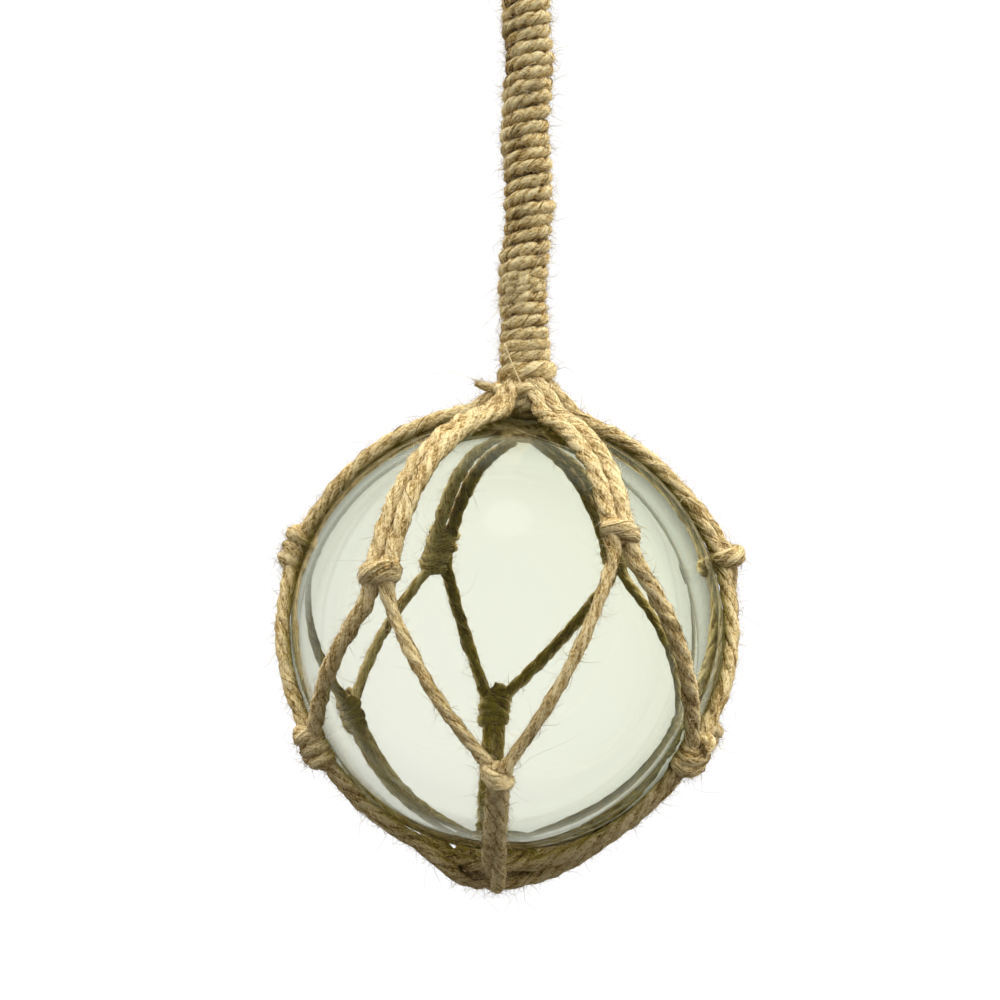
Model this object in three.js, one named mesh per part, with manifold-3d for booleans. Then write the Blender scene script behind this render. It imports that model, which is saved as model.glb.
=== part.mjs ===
import * as THREE from 'three';
import Module from 'manifold-3d';

// A rope-wrapped glass ball: a sealed glass float in a knotted jute net, hung from a rope
// that is served with jute yarn and ends in a loop. Millimetres, +Z up, the seen side
// towards -Y. The origin is the point inside the top of the loop where a hook bears.

const BALL_DIAMETER = 100;
const BALL_DROP = 198; // from the hook's point down to the middle of the ball
const NECK_OFFSET = 4.2; // the hanging rope stands this far to the right of the ball's middle
const BASE_OFFSET = -2.7; // the cords under the ball gather this far to its left
const GAP = 0.3; // between two pieces that touch

const CORD_WIDTH = 4.0; // a net cord, lying on the glass
const CORD_HEIGHT = 3.6;
const KNOT_CORD = 3.4; // the same cord where a knot grips it
const KNOT_TURN = 4; // the height of one turn in a knot
const KNOT_END = 0.62; // a knot's width at its ends, and between two turns, to its full width
const KNOT_WAIST = 0.84;
const PLAIN_KNOT = 6.1; // a knot that stands off the glass no further than most
const KNOT_LIFT = 1.0; // a cord rises this far off the glass inside a knot
const RIDE_REACH = 14;
const GATHER_REACH = 12; // a pair fans out this far from where the cords gather
const KNOT_EXIT = 5.2; // two cords run side by side this far below an upper knot, then part
const KNOT_ENTRY = 2.8; // and come together this far above a lower knot
const BASE_SAG = 6; // the cords hang this far below the glass where they gather
const SAG_REACH = 22;
const TUCK_RADIUS = 8.3; // where a cord ends, beside the gathered base
const TUCK_LIFT = 1.34; // and how far above the lowest of its sag

const STEM_DIAMETER = 11.4; // the served rope, over its turns
const TURN_PITCH = 3.1; // from one turn of the serving to the next
const TURN_STARTS = 2; // yarns laid on side by side
const TURN_DEPTH = 0.75;
const STEM_BOTTOM = 67; // above the ball's middle
const STEM_TOP = 164;
const THROAT_HEIGHT = 13; // the served end that grips both legs of the loop
const THROAT_WIDTH = 16.4;

const LOOP_DIAMETER = 5.6; // the rope of the loop
const LOOP_OPENING = 24; // the width inside the loop
const LEG_SPACING = 6.0; // between the legs, where the serving grips them
const LEG_DEPTH = 10;

// The knots of the net, six in each row: azimuth from the seen side towards the right,
// latitude on the ball, width, height, and how far it stands off the glass. For a lower knot
// the last number is how far beside the middle of the base its pair heads.
const UPPER_KNOTS = [
  [-32, 17.0, 9.8, 6.2, 6.1],
  [30, 27.0, 9.2, 6.4, 6.1],
  [92, 18.5, 9.4, 6.8, 8.2],
  [139.5, 21.0, 9.4, 9.0, 6.1],
  [201, 23.6, 9.4, 15.0, 6.1],
  [268, 21.4, 8.8, 14.0, 6.1],
];
const LOWER_KNOTS = [
  [-65, -27.0, 9.2, 12.0, 6.1, 0],
  [-2.5, -30.3, 8.8, 7.0, 6.1, 0],
  [62, -29.2, 9.8, 11.0, 6.1, 0],
  [95, -27.6, 9.2, 9.0, 6.1, 5],
  [182, -26.2, 9.2, 13.0, 6.1, 0],
  [235, -24.0, 9.2, 12.0, 6.1, 0],
];

// Radius and height above the ball's middle, from below upwards.
const NECK_PROFILE = [
  [5.2, 50.4],
  [5.2, 57.2],
  [6.2, 57.5],
  [6.8, 59.2],
  [6.2, 60.6],
  [6.7, 62.1],
  [6.0, 63.4],
  [6.3, 65.0],
  [5.6, 66.7],
];
const BASE_PROFILE = [
  [4.2, -59.4],
  [6.9, -58.6],
  [7.6, -56.6],
  [7.2, -53.6],
  [5.4, -50.6],
];

const RADIUS = BALL_DIAMETER / 2;
const BED = RADIUS + GAP + CORD_HEIGHT / 2; // the middle of a cord that lies on the glass
const JUTE = { color: 0xcdb286, roughness: 1 };
const GLASS = { color: 0xdde6d6, roughness: 0.05, transparent: true, opacity: 0.35 };

const wasm = await Module();
wasm.setup();

const vec = (x, y, z) => new THREE.Vector3(x, y, z);
const mix = THREE.MathUtils.lerp;

// A direction on the ball.
function towards(azimuth, latitude) {
  const a = THREE.MathUtils.degToRad(azimuth);
  const b = THREE.MathUtils.degToRad(latitude);
  return vec(Math.cos(b) * Math.sin(a), -Math.cos(b) * Math.cos(a), Math.sin(b));
}

// A direction between two others, along the great circle.
function between(p, q, t) {
  const angle = p.angleTo(q);
  const a = Math.sin((1 - t) * angle) / Math.sin(angle);
  const b = Math.sin(t * angle) / Math.sin(angle);
  return p.clone().multiplyScalar(a).addScaledVector(q, b).normalize();
}

// The way from one direction to another, square to the first.
function heading(from, to) {
  return to.clone().addScaledVector(from, -to.dot(from)).normalize();
}

// A closed skin over rings that all have the same count of points.
function skin(rings) {
  const n = rings[0].length;
  const points = rings.flat();
  const last = points.length - n;
  const index = [];
  for (let j = 0; j + 1 < rings.length; j++) {
    for (let i = 0; i < n; i++) {
      const a = j * n + i;
      const b = j * n + ((i + 1) % n);
      index.push(a, b, b + n, a, b + n, a + n);
    }
  }
  for (let i = 1; i + 1 < n; i++) {
    index.push(0, i + 1, i);
    index.push(last, last + i, last + i + 1);
  }
  return skinOf(points, index);
}

function skinOf(points, index) {
  const geometry = new THREE.BufferGeometry().setFromPoints(points);
  geometry.setIndex(index);
  return geometry;
}

// A rope through stations {at, up, half, high}: its middle, the way off the glass, and its
// half sizes along and off the glass.
function rope(stations, sides, more = 0) {
  const rings = stations.map((s, j) => {
    const before = stations[Math.max(j - 1, 0)].at;
    const after = stations[Math.min(j + 1, stations.length - 1)].at;
    const along = after.clone().sub(before).normalize();
    const side = along.clone().cross(s.up).normalize();
    const up = side.clone().cross(along);
    const point = (turn) =>
      s.at
        .clone()
        .addScaledVector(side, -Math.cos(turn) * (s.half + more))
        .addScaledVector(up, Math.sin(turn) * (s.high + more));
    return Array.from({ length: sides }, (_, i) => point((2 * Math.PI * (i + 0.5)) / sides));
  });
  return skin(rings);
}

// A body turned about Z, stretched to its own width and depth.
function turned(profile, sides, wide = 1, deep = 1) {
  const point = (r, z, turn) => vec(Math.cos(turn) * r * wide, Math.sin(turn) * r * deep, z);
  const ring = ([r, z]) =>
    Array.from({ length: sides }, (_, i) => point(r, z, (2 * Math.PI * i) / sides));
  return skin(profile.map(ring));
}

function solid(geometry) {
  const vertProperties = new Float32Array(geometry.getAttribute('position').array);
  const triVerts = new Uint32Array(geometry.getIndex().array);
  return new wasm.Manifold(new wasm.Mesh({ numProp: 3, vertProperties, triVerts }));
}

function geometryOf(body) {
  const mesh = body.getMesh();
  const geometry = new THREE.BufferGeometry();
  geometry.setAttribute('position', new THREE.BufferAttribute(mesh.vertProperties, 3));
  geometry.setIndex(new THREE.BufferAttribute(mesh.triVerts, 1));
  return geometry;
}

// Where the pair above an upper knot heads, and the one below a lower knot.
function headsUp() {
  return vec(NECK_OFFSET, 0, RADIUS).normalize();
}

function headsDown([azimuth, , , , , beside]) {
  const a = THREE.MathUtils.degToRad(azimuth);
  const x = BASE_OFFSET + Math.cos(a) * beside;
  return vec(x, Math.sin(a) * beside, -RADIUS).normalize();
}

// One cord of the pair that runs from a knot towards the place where the cords gather. top
// is 1 above the ball and -1 below it. side is -1 or 1: left or right, seen from outside.
function pairRun(knot, far, top, side, steps) {
  const whole = knot.angleTo(far);
  const reach = 1 - GATHER_REACH / BED / whole;
  return Array.from({ length: steps + 1 }, (_, j) => {
    const d = between(knot, far, (j / steps) * reach);
    const held = Math.exp(-((((j / steps) * whole * BED) / 6) ** 2));
    const loose = (CORD_WIDTH + GAP) * (1 + 0.3 * (j / steps) ** 3);
    const apart = mix(loose, KNOT_CORD + GAP, held) / 2;
    const right = heading(d, far).cross(d).multiplyScalar(top);
    return d.multiplyScalar(BED).addScaledVector(right, apart * side).normalize();
  });
}

// A place beside a knot: so far above it, and half a cord to one side.
function beside(knot, above, side) {
  const up = heading(knot, vec(0, 0, 1));
  const right = up.clone().cross(knot);
  const at = knot.clone().multiplyScalar(BED).addScaledVector(up, above);
  return at.addScaledVector(right, (side * (CORD_WIDTH + GAP)) / 2).normalize();
}

// How far a cord hangs clear of the glass under the ball.
function sag(d) {
  const away = d.angleTo(vec(BASE_OFFSET, 0, -RADIUS)) * BED;
  return BASE_SAG * THREE.MathUtils.smoothstep(SAG_REACH - away, 0, SAG_REACH - 4);
}

// The stations of one cord: from under the neck, through an upper and a lower knot, to the
// gathered base.
function cordStations(upper, lower, side) {
  const high = towards(upper[0], upper[1]);
  const low = towards(lower[0], lower[1]);
  const top = pairRun(high, headsUp(), 1, side, 6);
  const bottom = pairRun(low, headsDown(lower), -1, -side, 5);
  // The right-hand cord of a pair rides up where its upper knot stands off further.
  const ride = side > 0 ? upper[4] - PLAIN_KNOT : 0;
  const leave = beside(high, -KNOT_EXIT, side);
  const enter = beside(low, KNOT_ENTRY, -side);
  const slant = Array.from({ length: 5 }, (_, j) => between(leave, enter, j / 4));
  const stations = [...top.reverse(), ...slant, ...bottom].map((d) => {
    const away = Math.min(d.angleTo(high), d.angleTo(low)) * BED;
    const held = Math.exp(-((away / 5) ** 2));
    const size = mix(1, KNOT_CORD / CORD_WIDTH, held) / 2;
    const over = ride * Math.exp(-(((d.angleTo(high) * BED) / RIDE_REACH) ** 2));
    const at = d.clone().multiplyScalar(BED + KNOT_LIFT * held + over + sag(d));
    return { at, up: d, half: CORD_WIDTH * size, high: CORD_HEIGHT * size };
  });
  // Under the neck the cord leaves the glass and climbs. At the base it is squeezed.
  const first = stations[0].at;
  const out = vec(first.x - NECK_OFFSET, first.y, 0).normalize();
  const climb = (r, z, half, tall) => ({
    at: vec(NECK_OFFSET + out.x * r, out.y * r, z),
    up: vec(out.x * 0.6, out.y * 0.6, 0.8),
    half,
    high: tall,
  });
  const end = stations[stations.length - 1].at;
  const away = vec(end.x - BASE_OFFSET, end.y, 0).normalize();
  const tuck = {
    at: vec(BASE_OFFSET + away.x * TUCK_RADIUS, away.y * TUCK_RADIUS, TUCK_LIFT - BED - BASE_SAG),
    up: vec(away.x * 0.2, away.y * 0.2, -1).normalize(),
    half: 1.4,
    high: CORD_HEIGHT / 2,
  };
  return [climb(6.7, 55.2, 1.2, 1.6), climb(9.0, 53.6, 1.6, 1.8), ...stations, tuck];
}

const UPPER_AT = 8; // the station in the upper knot
const LOWER_AT = 14; // the station in the lower knot

// A knot: turns of cord round a pair, drawn into a lump that rests on the glass.
function knotBody([azimuth, latitude, wide, tall, off], far, top) {
  const d = towards(azimuth, latitude);
  const z = heading(d, far).multiplyScalar(top);
  const turns = Math.max(2, Math.round(tall / KNOT_TURN));
  const profile = [[KNOT_END, -tall / 2]];
  for (let i = 0; i < turns; i++) {
    const middle = tall * ((i + 0.5) / turns - 0.5);
    profile.push([1, middle]);
    if (i + 1 < turns) {
      profile.push([KNOT_WAIST, middle + tall / turns / 2]);
    }
  }
  profile.push([KNOT_END, tall / 2]);
  const place = new THREE.Matrix4().makeBasis(d.clone().cross(z), d, z);
  place.setPosition(d.clone().multiplyScalar(RADIUS + GAP + off / 2));
  return solid(turned(profile, 8, wide / 2, off / 2).applyMatrix4(place));
}

// The twelve cords. In each upper knot the right-hand cord ties the turns and the left-hand
// one runs through them, and in each lower knot the other way about.
function netCords() {
  const runs = [];
  for (let i = 0; i < 6; i++) {
    runs.push(cordStations(UPPER_KNOTS[i], LOWER_KNOTS[i], -1));
    runs.push(cordStations(UPPER_KNOTS[i], LOWER_KNOTS[(i + 1) % 6], 1));
  }
  const bodies = runs.map((stations) => solid(rope(stations, 6)));
  const passage = (run, at) => solid(rope(runs[run].slice(at - 2, at + 3), 6, GAP));
  const largest = (body) => body.decompose().reduce((a, b) => (b.volume() > a.volume() ? b : a));
  for (let i = 0; i < 6; i++) {
    const left = 2 * i;
    const right = left + 1;
    const other = (left + 11) % 12;
    const down = headsDown(LOWER_KNOTS[i]);
    const upper = knotBody(UPPER_KNOTS[i], headsUp(), 1).subtract(passage(left, UPPER_AT));
    const lower = knotBody(LOWER_KNOTS[i], down, -1).subtract(passage(other, LOWER_AT));
    bodies[right] = bodies[right].add(largest(upper));
    bodies[left] = bodies[left].add(largest(lower));
  }
  return bodies.map(geometryOf);
}

// The served rope: a ridged body that follows the turns of the yarn, cut square at both
// ends and pierced at the top for the legs of the loop.
function servedStem() {
  const sides = 10;
  const rowsPerTurn = 2;
  const shift = TURN_STARTS * rowsPerTurn; // rows climbed in one revolution
  const lead = TURN_STARTS * TURN_PITCH;
  const rows = Math.ceil(((STEM_TOP - STEM_BOTTOM + 2 * lead) * rowsPerTurn) / TURN_PITCH);
  const points = [];
  for (let j = 0; j <= rows; j++) {
    for (let i = 0; i < sides; i++) {
      const z = STEM_BOTTOM - lead + (TURN_PITCH * j) / rowsPerTurn + (lead * i) / sides;
      const flare = THREE.MathUtils.smoothstep(z, STEM_TOP - THROAT_HEIGHT - 7, STEM_TOP - 5);
      const r = STEM_DIAMETER / 2 - (j % rowsPerTurn) * TURN_DEPTH;
      const x = r * mix(1, THROAT_WIDTH / STEM_DIAMETER, flare);
      const turn = (2 * Math.PI * i) / sides;
      points.push(vec(Math.cos(turn) * x, Math.sin(turn) * r, z));
    }
  }
  const at = (i, j) => (i < sides ? j * sides + i : (j + shift) * sides);
  const index = [];
  for (let j = 0; j < rows; j++) {
    const across = j + shift < rows ? sides : sides - 1;
    for (let i = 0; i < across; i++) {
      index.push(at(i, j), at(i + 1, j), at(i + 1, j + 1));
      index.push(at(i, j), at(i + 1, j + 1), at(i, j + 1));
    }
  }
  const foot = Array.from({ length: sides }, (_, i) => at(i, 0));
  const head = Array.from({ length: sides }, (_, i) => at(i, rows));
  for (let j = 0; j < shift; j++) {
    foot.push(at(0, shift - j));
    head.push(at(sides - 1, rows - 1 - j));
  }
  const ends = points.length;
  points.push(vec(0, 0, STEM_BOTTOM - lead), vec(0, 0, STEM_TOP + 2 * lead));
  for (let k = 0; k < foot.length; k++) {
    const next = (k + 1) % foot.length;
    index.push(ends, foot[next], foot[k]);
    index.push(ends + 1, head[k], head[next]);
  }
  let body = solid(skinOf(points, index));
  body = body.trimByPlane([0, 0, 1], STEM_BOTTOM).trimByPlane([0, 0, -1], -STEM_TOP);
  const bore = LOOP_DIAMETER / 2 + 2 * GAP;
  for (const side of [-1, 1]) {
    const leg = turned([[bore, STEM_TOP - LEG_DEPTH - GAP], [bore, STEM_TOP + 1]], 12);
    body = body.subtract(solid(leg.translate((side * LEG_SPACING) / 2, 0, 0)));
  }
  return geometryOf(body);
}

// The loop: one rope with its two legs in the throat of the serving.
function hangingLoop() {
  const r = LOOP_DIAMETER / 2;
  const bend = LOOP_OPENING / 2 + r;
  const middle = r - bend; // the height of the round top's middle
  const foot = STEM_TOP - BALL_DROP;
  const half = [
    [LEG_SPACING / 2, foot - LEG_DEPTH],
    [LEG_SPACING / 2, foot - 4],
    [LEG_SPACING / 2 + 0.25, foot + 0.5],
    [LEG_SPACING / 2 + 4.2, foot + 8],
    [bend - 2.2, middle - 6.5],
    [bend, middle],
    [bend * Math.SQRT1_2, middle + bend * Math.SQRT1_2],
  ];
  const left = half.map(([x, z]) => vec(-x, 0, z));
  const right = half.map(([x, z]) => vec(x, 0, z)).reverse();
  const path = new THREE.CatmullRomCurve3([...left, vec(0, 0, r), ...right]);
  const up = vec(0, -1, 0);
  return rope(path.getSpacedPoints(24).map((at) => ({ at, up, half: r, high: r })), 9);
}

const group = new THREE.Group();
group.name = 'rope_wrapped_glass_ball';

function add(name, geometry, look, x, z) {
  const mesh = new THREE.Mesh(geometry, new THREE.MeshStandardMaterial(look));
  mesh.name = name;
  mesh.position.set(x, 0, z);
  group.add(mesh);
}

const ball = new THREE.SphereGeometry(RADIUS, 24, 13).rotateX(Math.PI / 2);
add('glass_ball', ball, GLASS, -NECK_OFFSET, -BALL_DROP);
netCords().forEach((geometry, i) => {
  const name = `net_cord_${Math.floor(i / 2) + 1}${i % 2 ? 'b' : 'a'}`;
  add(name, geometry, JUTE, -NECK_OFFSET, -BALL_DROP);
});
add('neck_binding', turned(NECK_PROFILE, 12), JUTE, 0, -BALL_DROP);
add('base_knot', turned(BASE_PROFILE, 12), JUTE, BASE_OFFSET - NECK_OFFSET, -BALL_DROP);
add('served_stem', servedStem(), JUTE, 0, -BALL_DROP);
add('hanging_loop', hangingLoop(), JUTE, 0, 0);

export default group;
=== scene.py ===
import math
from typing import NamedTuple

import bpy
import numpy as np
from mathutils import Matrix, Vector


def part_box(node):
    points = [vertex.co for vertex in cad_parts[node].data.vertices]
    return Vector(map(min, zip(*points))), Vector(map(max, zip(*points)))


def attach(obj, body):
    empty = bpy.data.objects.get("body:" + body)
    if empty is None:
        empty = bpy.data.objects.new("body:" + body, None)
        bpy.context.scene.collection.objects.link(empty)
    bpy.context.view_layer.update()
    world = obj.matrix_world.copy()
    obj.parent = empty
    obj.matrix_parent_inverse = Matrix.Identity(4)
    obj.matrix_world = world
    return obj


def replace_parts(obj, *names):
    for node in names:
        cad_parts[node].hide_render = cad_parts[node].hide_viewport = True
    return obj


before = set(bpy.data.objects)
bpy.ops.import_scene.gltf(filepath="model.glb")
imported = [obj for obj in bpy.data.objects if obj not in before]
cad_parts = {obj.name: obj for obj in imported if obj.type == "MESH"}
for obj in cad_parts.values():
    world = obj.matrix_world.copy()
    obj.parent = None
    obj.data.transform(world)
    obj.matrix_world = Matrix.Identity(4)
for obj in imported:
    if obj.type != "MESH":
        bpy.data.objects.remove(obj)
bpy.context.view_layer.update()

# A glass float in a knotted jute net, hung from a rope served with jute yarn. Lengths are
# millimetres about the middle of the ball, +Z up, with the seen side towards -Y.
MM = 0.001


def middle_of(node):
    low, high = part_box(node)
    return np.array((low + high) / 2) / MM


BALL_AT = middle_of("glass_ball")
RADIUS = (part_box("glass_ball")[1].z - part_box("glass_ball")[0].z) / 2 / MM
NECK_X = (middle_of("neck_binding") - BALL_AT)[0]
BASE_X = (middle_of("base_knot") - BALL_AT)[0]
HOOK_Z = -BALL_AT[2]  # the height of the hook's point above the middle of the ball

# The glass: a shell whose hollow is a little off the middle, as in a blown ball.
HOLLOW_RADIUS = 46.6
HOLLOW_AT = (-1.2, 0.0, -1.0)
HOLLOW_WAVE = 0.10

# The net.
CORD = 4.1  # a cord's width above its upper knot
LOWER_CORD = 3.6  # and below its lower knot
# A strand's middle from its cord's, and its half width, as shares of the cord's width.
CORD_PLY = (0.13, 0.35)
YARN_PLY = (0.16, 0.34)
BED = RADIUS + 2.0  # the middle of a cord that lies on the glass
LAY = 17.5  # a strand's full turn round its cord
GATHER_REACH = 12  # a pair ends this far from the middle of the neck or the base
KNOT_CORD = 5.0  # the cord of the turns of a plain knot
KNOT_WIDTH = 9.6  # a plain knot
KNOT_PITCH = 4.4  # of its turns
KNOT_PROUD = 6.1  # a knot, from the glass outwards
KNOT_PRESSED = 0.42  # from the middle of its cord to the outside, as a share of the cord's width
KNOT_LIFT = 1.0  # a cord rises this far off the glass in a knot, over so far along it
LIFT_REACH = 5
RIDE_REACH = 14  # the same round a knot that stands further off
KNOT_EXIT = 5.2  # two cords part this far below an upper knot
KNOT_ENTRY = 2.8  # and meet this far above a lower one
CORD_GAP = 0.2  # between two cords side by side at a knot
# The ends of a cord: radius and height where it climbs into the neck, and radius and further
# drop where it is tucked into the base.
NECK_CLIMB = ((4.4, 58.0), (6.7, 55.4), (9.0, 53.6))
BASE_TUCK = ((8.3, 1.2), (3.5, 1.8))
SAG_APART = 1.8  # of a pair's two cords, either way from the pair's sag


class Knot(NamedTuple):
    """A knot, and the pair of cords that runs from it to the neck or to the base."""

    azimuth: float  # from the seen side towards the right
    latitude: float
    wide: float
    tall: float
    slope: float  # of its turns
    apart: float  # the two cords of its pair, at the knot
    spread: float  # and at the pair's other end
    bow: float = 0  # of the pair, to the right
    ride: float = 0  # how much further than most it stands off the glass
    beside: float = 0  # how far beside the middle of the base the pair heads
    sag: float = 0  # of the pair, under the ball
    sag_reach: float = 22

    def way(self):
        return towards(self.azimuth, self.latitude)


UPPER_KNOTS = [
    Knot(-32, 17.0, 10.2, 6.6, 0.36, 4.0, 3.2, bow=-2.0),
    Knot(30, 27.0, 9.4, 5.8, -0.25, 3.9, 4.8, bow=1.4),
    Knot(92, 18.5, 9.6, 6.4, 0.05, 1.6, 3.0, ride=2.2),
    Knot(139.5, 21.0, 9.4, 9.0, 0.15, 3.8, 4.6),
    Knot(201, 23.6, 9.6, 16.0, -0.2, 3.8, 5.2, bow=0.8),
    Knot(268, 21.4, 8.8, 14.0, 0.25, 3.0, 3.2),
]
LOWER_KNOTS = [
    Knot(-65, -27.0, 9.6, 13.0, 0.3, 2.7, 3.6, sag=4.2, sag_reach=25),
    Knot(-2.5, -30.3, 7.6, 5.6, -0.45, 1.7, 2.2, sag=5.0),
    Knot(62, -29.2, 11.0, 12.0, 0.25, 3.0, 3.6, sag=3.9, sag_reach=34),
    Knot(95, -27.6, 9.2, 9.0, -0.15, 2.7, 3.2, beside=5, sag=3.0),
    Knot(182, -26.2, 9.0, 14.0, 0.25, 2.4, 4.0, sag=2.6),
    Knot(235, -24.0, 9.0, 13.0, -0.2, 3.4, 4.8, sag=3.0),
]
# A cord's width between its knots, how far it hangs slack there, and how much painted shade,
# dark and tinted green as by light through the glass, it gets on the side that lies on the glass.
SINGLES = {
    "1a": (3.9, 0.0, 1.0),
    "1b": (3.0, 1.3, 1.0),
    "2a": (2.9, 1.3, 1.0),
    "2b": (3.9, 0.0, 1.0),
    "3a": (4.0, 0.0, 1.0),
    "3b": (3.6, 0.0, 1.0),
    "4a": (3.5, 0.0, 1.0),
    "4b": (3.6, 0.0, 1.0),
    "5a": (3.6, 0.0, 1.0),
    "5b": (3.2, 0.0, 0.3),
    "6a": (3.6, 0.0, 1.0),
    "6b": (3.9, 0.0, 1.0),
}

# The hanging rope.
STEM = 11.4
STEM_BOTTOM = 67
STEM_TOP = 164
STEM_CORE = 3.6  # the radius of the rope inside the turns
STEM_SHADE = (4.1, 5.6)  # radii: the turns are in shade at the first, and in none at the second
BEND = 0.45  # the stem bends this far to either side, in waves that cross its line at a height
BEND_WAVE = 35
BEND_AT = 89
LEAN = (-0.25, 0.5)  # and leans from one side to the other between two heights
LEAN_AT = (78, 96)
YARN = 3.3  # the width of the yarn in the turns
TURN_PITCH = 3.1
TURN_STARTS = 2
CLOSE_PITCH = 2.9
CLOSE_TURNS_TOP = 81  # the turns are single and closer below this height
THROAT_HEIGHT = 13
THROAT_WIDTH = 16.4
LOOP = 5.6
LOOP_OPENING = 24
LEG_SPACING = 6.0
LEG_DEPTH = 10

# The camera of the photograph: a level view, in the frame's metres.
CAMERA_AT = (-0.0058, -0.4178, -0.1674)
CAMERA_LENS = 64.8

rng = np.random.default_rng(11)


def unit(v):
    return v / np.linalg.norm(v, axis=-1, keepdims=True)


def smooth(x, low, high):
    t = np.clip((x - low) / (high - low), 0, 1)
    return t * t * (3 - 2 * t)


def towards(azimuth, latitude):
    a = math.radians(azimuth)
    b = math.radians(latitude)
    return np.array([math.cos(b) * math.sin(a), -math.cos(b) * math.cos(a), math.sin(b)])


def angle_between(p, q):
    return math.acos(np.clip(unit(p) @ unit(q), -1, 1))


def between(p, q, t):
    whole = angle_between(p, q)
    return unit(math.sin((1 - t) * whole) * p + math.sin(t * whole) * q)


def heading(start, end):
    return unit(end - (end @ start) * start)


def lengths(path):
    steps = np.linalg.norm(np.diff(path, axis=0), axis=1)
    return np.concatenate([[0], np.cumsum(steps)])


def spaced(path, step):
    path = np.asarray(path, float)
    at = lengths(path)
    count = max(2, int(round(at[-1] / step)) + 1)
    even = np.linspace(0, at[-1], count)
    return np.stack([np.interp(even, at, path[:, k]) for k in range(3)], axis=1)


def relaxed(points, step, ease):
    """An even path through the points, with its corners eased over so many millimetres."""
    fine = 0.25
    dense = spaced(points, fine)
    reach = min(int(3 * ease / fine), len(dense) - 1)
    weights = np.exp(-0.5 * (np.arange(-reach, reach + 1) * fine / ease) ** 2)
    weights /= weights.sum()
    before = 2 * dense[0] - dense[reach:0:-1]
    after = 2 * dense[-1] - dense[-2 : -reach - 2 : -1]
    padded = np.vstack([before, dense, after])
    eased = np.stack([np.convolve(padded[:, k], weights, "valid") for k in range(3)], axis=1)
    return spaced(eased, step)


def wander(s, wave, count=4):
    """A smooth random course along a length, about -1 to 1, in waves of so many millimetres."""
    total = np.zeros_like(s)
    for _ in range(count):
        total += np.sin(2 * math.pi * (s / (wave * rng.uniform(0.6, 1.7)) + rng.random()))
    return total / count


def carried(path):
    """The way along a path and two ways square to it that turn as little as they can."""
    along = unit(np.gradient(path, axis=0))
    side = np.empty_like(along)
    guess = np.cross(along[0], (0.36, 0.48, 0.8))
    for i, way in enumerate(along):
        guess = unit(guess - (guess @ way) * way)
        side[i] = guess
    return along, side, np.cross(along, side)


def tube_faces(rings, sides, first):
    """Triangles over rings of points, with a point in the middle of each end."""
    j = np.arange(rings - 1)[:, None] * sides
    i = np.arange(sides)[None, :]
    k = (i + 1) % sides
    a = (j + i).ravel()
    b = (j + k).ravel()
    wall = np.concatenate([np.stack([a, b, b + sides], 1), np.stack([a, b + sides, a + sides], 1)])
    foot = rings * sides
    last = (rings - 1) * sides
    i = i.ravel()
    k = k.ravel()
    ends = [
        np.stack([np.full(sides, foot), k, i], 1),
        np.stack([np.full(sides, foot + 1), last + i, last + k], 1),
    ]
    return np.concatenate([wall, *ends]) + first


def new_piece(name, points, faces, material, slot, **attributes):
    mesh = bpy.data.meshes.new(name)
    points = (np.asarray(points) + BALL_AT) * MM
    mesh.vertices.add(len(points))
    mesh.vertices.foreach_set("co", points.astype(np.float32).ravel())
    mesh.loops.add(faces.size)
    mesh.loops.foreach_set("vertex_index", faces.astype(np.int32).ravel())
    mesh.polygons.add(len(faces))
    starts = np.arange(0, faces.size, faces.shape[1], dtype=np.int32)
    mesh.polygons.foreach_set("loop_start", starts)
    mesh.update(calc_edges=True)
    mesh.validate()
    mesh.shade_smooth()
    mesh.materials.append(material)
    for key, values in attributes.items():
        flat = values.ndim == 1
        layer = mesh.attributes.new(key, "FLOAT" if flat else "FLOAT_VECTOR", "POINT")
        layer.data.foreach_set("value" if flat else "vector", values.astype(np.float32).ravel())
    piece = bpy.data.objects.new(name, mesh)
    bpy.context.scene.collection.objects.link(piece)
    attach(piece, "root")
    return piece


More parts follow.
